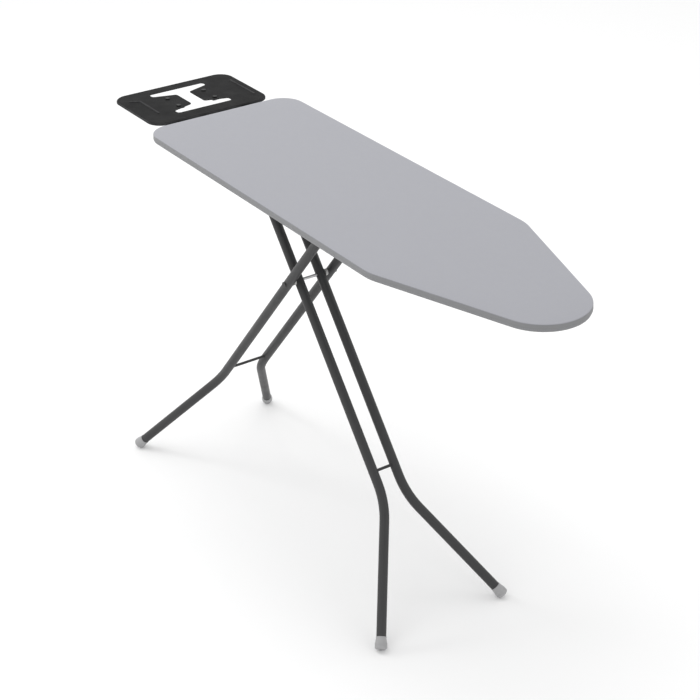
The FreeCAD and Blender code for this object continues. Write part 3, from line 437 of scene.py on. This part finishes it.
def edge_distance(point):
    """Rough distance of a point of the top from the outline."""
    side = HALF_WIDTH - abs(point.y)
    rear = point.x - REAR_END
    nose = NOSE_RADIUS - (Vector((point.x, point.y)) - Vector((SPINE_FRONT, 0))).length
    if point.x > SPINE_FRONT:
        return nose
    return min(side, rear)


def inflate(piece, cap, held_depth):
    """Cloth simulation of the tight sheet over its padding, with its travel capped."""
    rest = [vert.co.copy() for vert in piece.data.vertices]
    for vert in piece.data.vertices:
        vert.co.z += WAVER_HEIGHT * noise.noise(vert.co * WAVER_SCALE)
    pins = piece.vertex_groups.new(name="held")
    edge = [k for k, co in enumerate(rest)
            if co.z < TOP_HIGH.z - MERGE_DISTANCE or edge_distance(co) < held_depth]
    pins.add(edge, 1.0, "REPLACE")
    cloth = piece.modifiers.new("cloth", "CLOTH")
    cloth.settings.quality = 5
    cloth.settings.mass = 0.25
    cloth.settings.tension_stiffness = 40
    cloth.settings.compression_stiffness = 40
    cloth.settings.shear_stiffness = 20
    cloth.settings.bending_stiffness = 2
    cloth.settings.vertex_group_mass = "held"
    cloth.settings.use_pressure = True
    cloth.settings.uniform_pressure_force = CLOTH_PRESSURE
    cloth.settings.effector_weights.gravity = 0
    cloth.collision_settings.use_collision = False
    scene = bpy.context.scene
    for number in range(1, CLOTH_FRAMES + 1):
        scene.frame_set(number)
    shaped = piece.evaluated_get(bpy.context.evaluated_depsgraph_get()).data
    moved = [vert.co.copy() for vert in shaped.vertices]
    piece.modifiers.clear()
    piece.vertex_groups.clear()
    scene.frame_set(1)
    for vert, before, after in zip(piece.data.vertices, rest, moved):
        step = after - before
        limit = cap * math.tanh(step.length / cap)
        vert.co = before + (step.normalized() * limit if step.length > 1e-9 else step)
    fine = piece.modifiers.new("fine", "SUBSURF")
    fine.levels = 1
    fine.render_levels = 1
    apply_modifiers(piece)


def make_cover_band():
    """Border of the cover: side band, turned edge, and the gathered hem with its cord channel."""
    points = outline(BAND_STEP)
    along, total = travelled(points)
    bottom = BAND_LOW.z
    top = TOP_HIGH.z - EDGE_RADIUS
    profile = [(0.0235, 0.0011), (0.0246, 0.0002), (0.0240, -0.0009), (0.0222, -0.0012), (0.0200, -0.0006),
               (0.0160, 0.0002), (0.0110, 0.0004), (0.0060, 0.0003), (0.0025, 0.0005), (0.0008, 0.0015),
               (0.0000, 0.0034), (-0.0002, 0.0060), (-0.0002, 0.0090), (0.0000, 0.0120)]
    profile.append((0.0000, top - bottom))
    loops = []
    for inset, lift in profile:
        loop = []
        slack = min(max(inset - 0.002, 0.0) / 0.020, 1.0)
        for (point, normal), distance in zip(points, along):
            gathered = distance / total * round(total / GATHER_PITCH) * GATHER_PITCH
            fold = wave(gathered, 1.7, (GATHER_PITCH, 0.0008), (0.0293, 0.0006), (0.0071, 0.0003)) * slack
            pull = wave(gathered, 4.1, (0.021, 0.0009), (0.0093, 0.0005)) * slack
            pucker = 0.00012 * math.sin(2 * math.pi * gathered / PUCKER_PITCH)
            place = point - normal * (inset + pull + pucker)
            loop.append(Vector((*place, bottom + lift + min(fold, 0.0006))))
        loops.append(loop)
    band = skin("cover_band", loops)
    thick = band.modifiers.new("cloth_thickness", "SOLIDIFY")
    thick.thickness = 0.0007
    thick.offset = -1
    apply_modifiers(band)
    # The darker border fabric carries painted shade for the band's upright sides.
    dress(band, "border_fabric")
    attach(band, "board")
    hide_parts("cover_border")
    make_stitches()
    return band


def make_felt():
    """Felt pad between the deck and the cover, seen through the deck's slots."""
    points = outline(0.008)
    low, high = PAD_LOW.z, PAD_HIGH.z
    flat_inset, side_inset, rounding, count = 0.0025, 0.0012, 0.0010, 14
    bottom = inner_rings(points, flat_inset, low, count)[::-1]
    loops = bottom + [ring(points, flat_inset, low), ring(points, side_inset, low + rounding),
                      ring(points, side_inset, high - rounding), ring(points, flat_inset, high)]
    loops += inner_rings(points, flat_inset, high, count)
    pad = skin("felt_layer", loops, merge=MERGE_DISTANCE)
    dress(pad, "felt")
    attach(pad, "board")
    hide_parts("felt_pad")
    return pad


def make_stitches():
    """Lock stitches round the band, just above its turned lower edge."""
    pitch, proud, above = 0.0032, 0.0004, 0.0052
    points = outline(pitch / 4)
    along, total = travelled(points)
    count = round(total / pitch)
    verts = []
    faces = []
    cursor = 0
    for number in range(count):
        goal = number * total / count
        while cursor + 1 < len(points) and along[cursor + 1] <= goal:
            cursor += 1
        point, normal = points[cursor]
        centre = Vector((*(point + normal * proud), BAND_LOW.z + above))
        add_stitch(verts, faces, centre, Vector((-normal.y, normal.x, 0)), Vector((*normal, 0)))
    mesh = bpy.data.meshes.new("band_stitches")
    mesh.from_pydata(verts, [], faces)
    piece = bpy.data.objects.new("band_stitches", mesh)
    bpy.context.scene.collection.objects.link(piece)
    smooth(piece)
    dress(piece, "cover_fabric")
    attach(piece, "board")
    return piece


def add_stitch(verts, faces, centre, ahead, out):
    """One thread loop as a short spindle that dips into the cloth at both ends."""
    reach, radius, dip, around = 0.0013, 0.00030, 0.0003, 6
    levels = ((-1.0, 0.35), (-0.6, 0.9), (0.0, 1.0), (0.6, 0.9), (1.0, 0.35))
    first = len(verts)
    for share, width in levels:
        middle = centre + ahead * (reach * share) - out * (dip * share * share)
        for k in range(around):
            turn = 2 * math.pi * k / around
            side = out * math.cos(turn) + Vector((0, 0, 1)) * math.sin(turn)
            verts.append(middle + side * (radius * width))
    for level in range(len(levels) - 1):
        for k in range(around):
            a = first + level * around + k
            b = first + level * around + (k + 1) % around
            faces.append((a, b, b + around, a + around))
    faces.append(tuple(range(first + around - 1, first - 1, -1)))
    last = first + (len(levels) - 1) * around
    faces.append(tuple(range(last, last + around)))


# ---------------------------------------------------------------- feet and welds
def lathe(name, profile, place, turn, segments=64):
    """Turned piece: radius and height pairs about the local Z axis."""
    loops = []
    for radius, height in profile:
        loops.append([place + turn @ Vector((radius * math.cos(a), radius * math.sin(a), height))
                      for a in (2 * math.pi * k / segments for k in range(segments))])
    return skin(name, loops, merge=1e-6)


def foot_profile():
    """Radius and height pairs of a foot: lip, flare with two grooves, rounded edge, dished end."""
    lip, flare, edge, sleeve = 0.0100, 0.0120, 0.0040, 0.0198
    profile = [(TUBE_RADIUS + 0.00005, 0.006), (TUBE_RADIUS + 0.00005, sleeve - 0.0004),
               (TUBE_RADIUS + 0.00025, sleeve), (lip, sleeve - 0.0001), (lip + 0.0003, sleeve - 0.0006),
               (lip + 0.0003, sleeve - 0.0015), (lip, sleeve - 0.0021)]
    bottom = 0.0062
    for k in range(1, 11):
        share = k / 10
        profile.append((lip + (flare - lip) * share ** 1.2, (sleeve - 0.0021) * (1 - share) + bottom * share))
    for groove in (0.0050, 0.0025):
        profile += [(flare, groove + 0.0007), (flare - 0.0004, groove + 0.0003),
                    (flare - 0.0004, groove - 0.0003), (flare, groove - 0.0007)]
    for k in range(9):
        turn = math.pi / 2 * k / 8
        profile.append((flare - edge + edge * math.cos(turn), -edge * math.sin(turn)))
    return profile + [(0.0068, -edge), (0.0060, 0.0004 - edge), (0.0, 0.0005 - edge)]


def leg_direction(leg):
    """Unit vector down a leg in the XZ plane."""
    side = 1 if leg == "front" else -1
    return Vector((side * math.cos(LEG_ANGLE), 0, -math.sin(LEG_ANGLE)))


def leg_origin(leg):
    """Middle of the rod at the top of a leg."""
    low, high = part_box("hinge_rod" if leg == "front" else "top_rod")
    return (Vector(low) + Vector(high)) / 2


def make_feet():
    """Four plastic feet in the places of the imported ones."""
    for leg, sizes in LEGS.items():
        origin = leg_origin(leg)
        along = (origin.z - FOOT_RING_HEIGHT) / math.sin(LEG_ANGLE)
        rise = sizes["foot_y"] - sizes["tube_y"]
        for side, sign in (("left", 1), ("right", -1)):
            centre = origin + leg_direction(leg) * along + Vector((0, sign * sizes["foot_y"], 0))
            down = leg_direction(leg) * (along - sizes["bend"]) + Vector((0, sign * rise, 0))
            turn = (-down).to_track_quat("Z", "Y").to_matrix()
            foot = lathe(f"{leg}_foot_{side}_cap", foot_profile(), centre, turn)
            floor_flat(foot)
            dress(foot, "foot_plastic")
            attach(foot, f"{leg}_leg")
            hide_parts(f"{leg}_foot_{side}")


def make_plugs():
    """Domed plastic plugs in the open top ends of the four tubes."""
    profile = [(0.0, 0.0016), (0.003, 0.0015), (0.006, 0.0012), (0.0085, 0.0007), (0.0094, 0.0002),
               (0.0094, -0.0001), (0.0080, -0.0001), (0.0080, -0.005)]
    for leg, sizes in LEGS.items():
        start = leg_origin(leg) - leg_direction(leg) * TUBE_OVERHANG
        turn = (-leg_direction(leg)).to_track_quat("Z", "Y").to_matrix()
        for side, sign in (("left", 1), ("right", -1)):
            place = start + Vector((0, sign * sizes["tube_y"], 0))
            plug = lathe(f"{leg}_tube_{side}_plug", profile, place, turn)
            dress(plug, "dark_plastic")
            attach(plug, f"{leg}_leg")


def floor_flat(foot):
    """Press what would go below the floor up to it."""
    for vert in foot.data.vertices:
        vert.co.z = max(vert.co.z, 0.0)


def weld_ring(form, centre, radius, seed):
    """Uneven weld bead round a rod where it meets a tube."""
    steps, around, bead = 28, 8, 0.0011
    verts = []
    for k in range(steps):
        angle = 2 * math.pi * k / steps
        ripple = 1 + 0.16 * math.sin(9 * angle + seed) + 0.10 * math.sin(4 * angle + 2 * seed)
        thick = bead * ripple
        out = Vector((math.cos(angle), 0, math.sin(angle)))
        for j in range(around):
            turn = 2 * math.pi * j / around
            verts.append(form.verts.new(centre + out * (radius + thick * math.cos(turn))
                                        + Vector((0, thick * math.sin(turn), 0))))
    for k in range(steps):
        for j in range(around):
            a, b = k * around + j, k * around + (j + 1) % around
            c, d = ((k + 1) % steps) * around + (j + 1) % around, ((k + 1) % steps) * around + j
            form.faces.new((verts[a], verts[b], verts[c], verts[d]))


def make_welds():
    """Weld beads at both ends of each leg's brace rod."""
    for leg, sizes in LEGS.items():
        inner = sizes["tube_y"] - TUBE_RADIUS
        low, high = (Vector(corner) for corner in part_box(f"{leg}_brace_rod"))
        middle = (low + high) / 2
        radius = (high.z - low.z) / 2
        form = bmesh.new()
        for seed, sign in enumerate((1, -1)):
            weld_ring(form, Vector((middle.x, sign * inner, middle.z)), radius, 1.3 + seed)
        bmesh.ops.recalc_face_normals(form, faces=form.faces)
        mesh = bpy.data.meshes.new(f"{leg}_brace_welds")
        form.to_mesh(mesh)
        form.free()
        piece = bpy.data.objects.new(f"{leg}_brace_welds", mesh)
        bpy.context.scene.collection.objects.link(piece)
        smooth(piece)
        dress(piece, "frame_steel")
        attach(piece, f"{leg}_leg")


# ---------------------------------------------------------------- stage
def make_floor():
    """Plain pale floor."""
    mesh = bpy.data.meshes.new("floor")
    reach = 60.0
    mesh.from_pydata([(-reach, -reach, 0), (reach, -reach, 0), (reach, reach, 0), (-reach, reach, 0)], [],
                     [(0, 1, 2, 3)])
    floor = bpy.data.objects.new("floor", mesh)
    bpy.context.scene.collection.objects.link(floor)
    paint = Shader("floor_paint", (0.94, 0.94, 0.94), 0.9, Specular_IOR_Level=0.05)
    floor.data.materials.append(paint.material)
    floor.location.z = -0.0005


def area_light(name, place, aim, size, power):
    """Square soft box aimed at a point."""
    light = bpy.data.lights.new(name, "AREA")
    light.shape = "SQUARE"
    light.size = size
    light.energy = power
    holder = bpy.data.objects.new(name, light)
    holder.location = place
    holder.rotation_euler = (Vector(aim) - Vector(place)).to_track_quat("-Z", "Y").to_euler()
    bpy.context.scene.collection.objects.link(holder)


def make_lights():
    """Bright even surround with a large soft box overhead and a small one at the side."""
    world = bpy.data.worlds.new("surround")
    bpy.context.scene.world = world
    world.use_nodes = True
    world.node_tree.nodes["Background"].inputs["Color"].default_value = (1, 1, 1, 1)
    world.node_tree.nodes["Background"].inputs["Strength"].default_value = 0.95
    area_light("overhead", (-0.7, -0.3, 3.8), (0.0, 0.0, 0.0), 2.8, 40)
    area_light("key", (-2.6, -1.6, 2.2), (0.0, 0.0, 0.3), 0.8, 14)
    bpy.context.scene.view_settings.view_transform = "Standard"


def make_camera():
    """Camera looking down on the nose end from the right-hand side."""
    azimuth = math.radians(55.29)
    elevation = math.radians(29.2)
    distance = 4.2922
    roll = -0.0033
    aim = Vector((-0.6471, 0.4632, 0.007))
    back = Vector((math.sin(azimuth) * math.cos(elevation), -math.cos(azimuth) * math.cos(elevation),
                   math.sin(elevation)))
    camera = bpy.data.cameras.new("camera")
    camera.sensor_width = 36
    camera.lens = 89.684
    holder = bpy.data.objects.new("camera", camera)
    holder.location = aim + back * distance
    level = (-back).to_track_quat("-Z", "Y")
    holder.rotation_euler = (level @ Euler((0, 0, roll)).to_quaternion()).to_euler()
    bpy.context.scene.collection.objects.link(holder)
    bpy.context.scene.camera = holder


make_camera()
make_lights()
make_floor()
dress_frame()
make_cover_panel()
make_cover_band()
make_felt()
make_feet()
make_plugs()
make_welds()
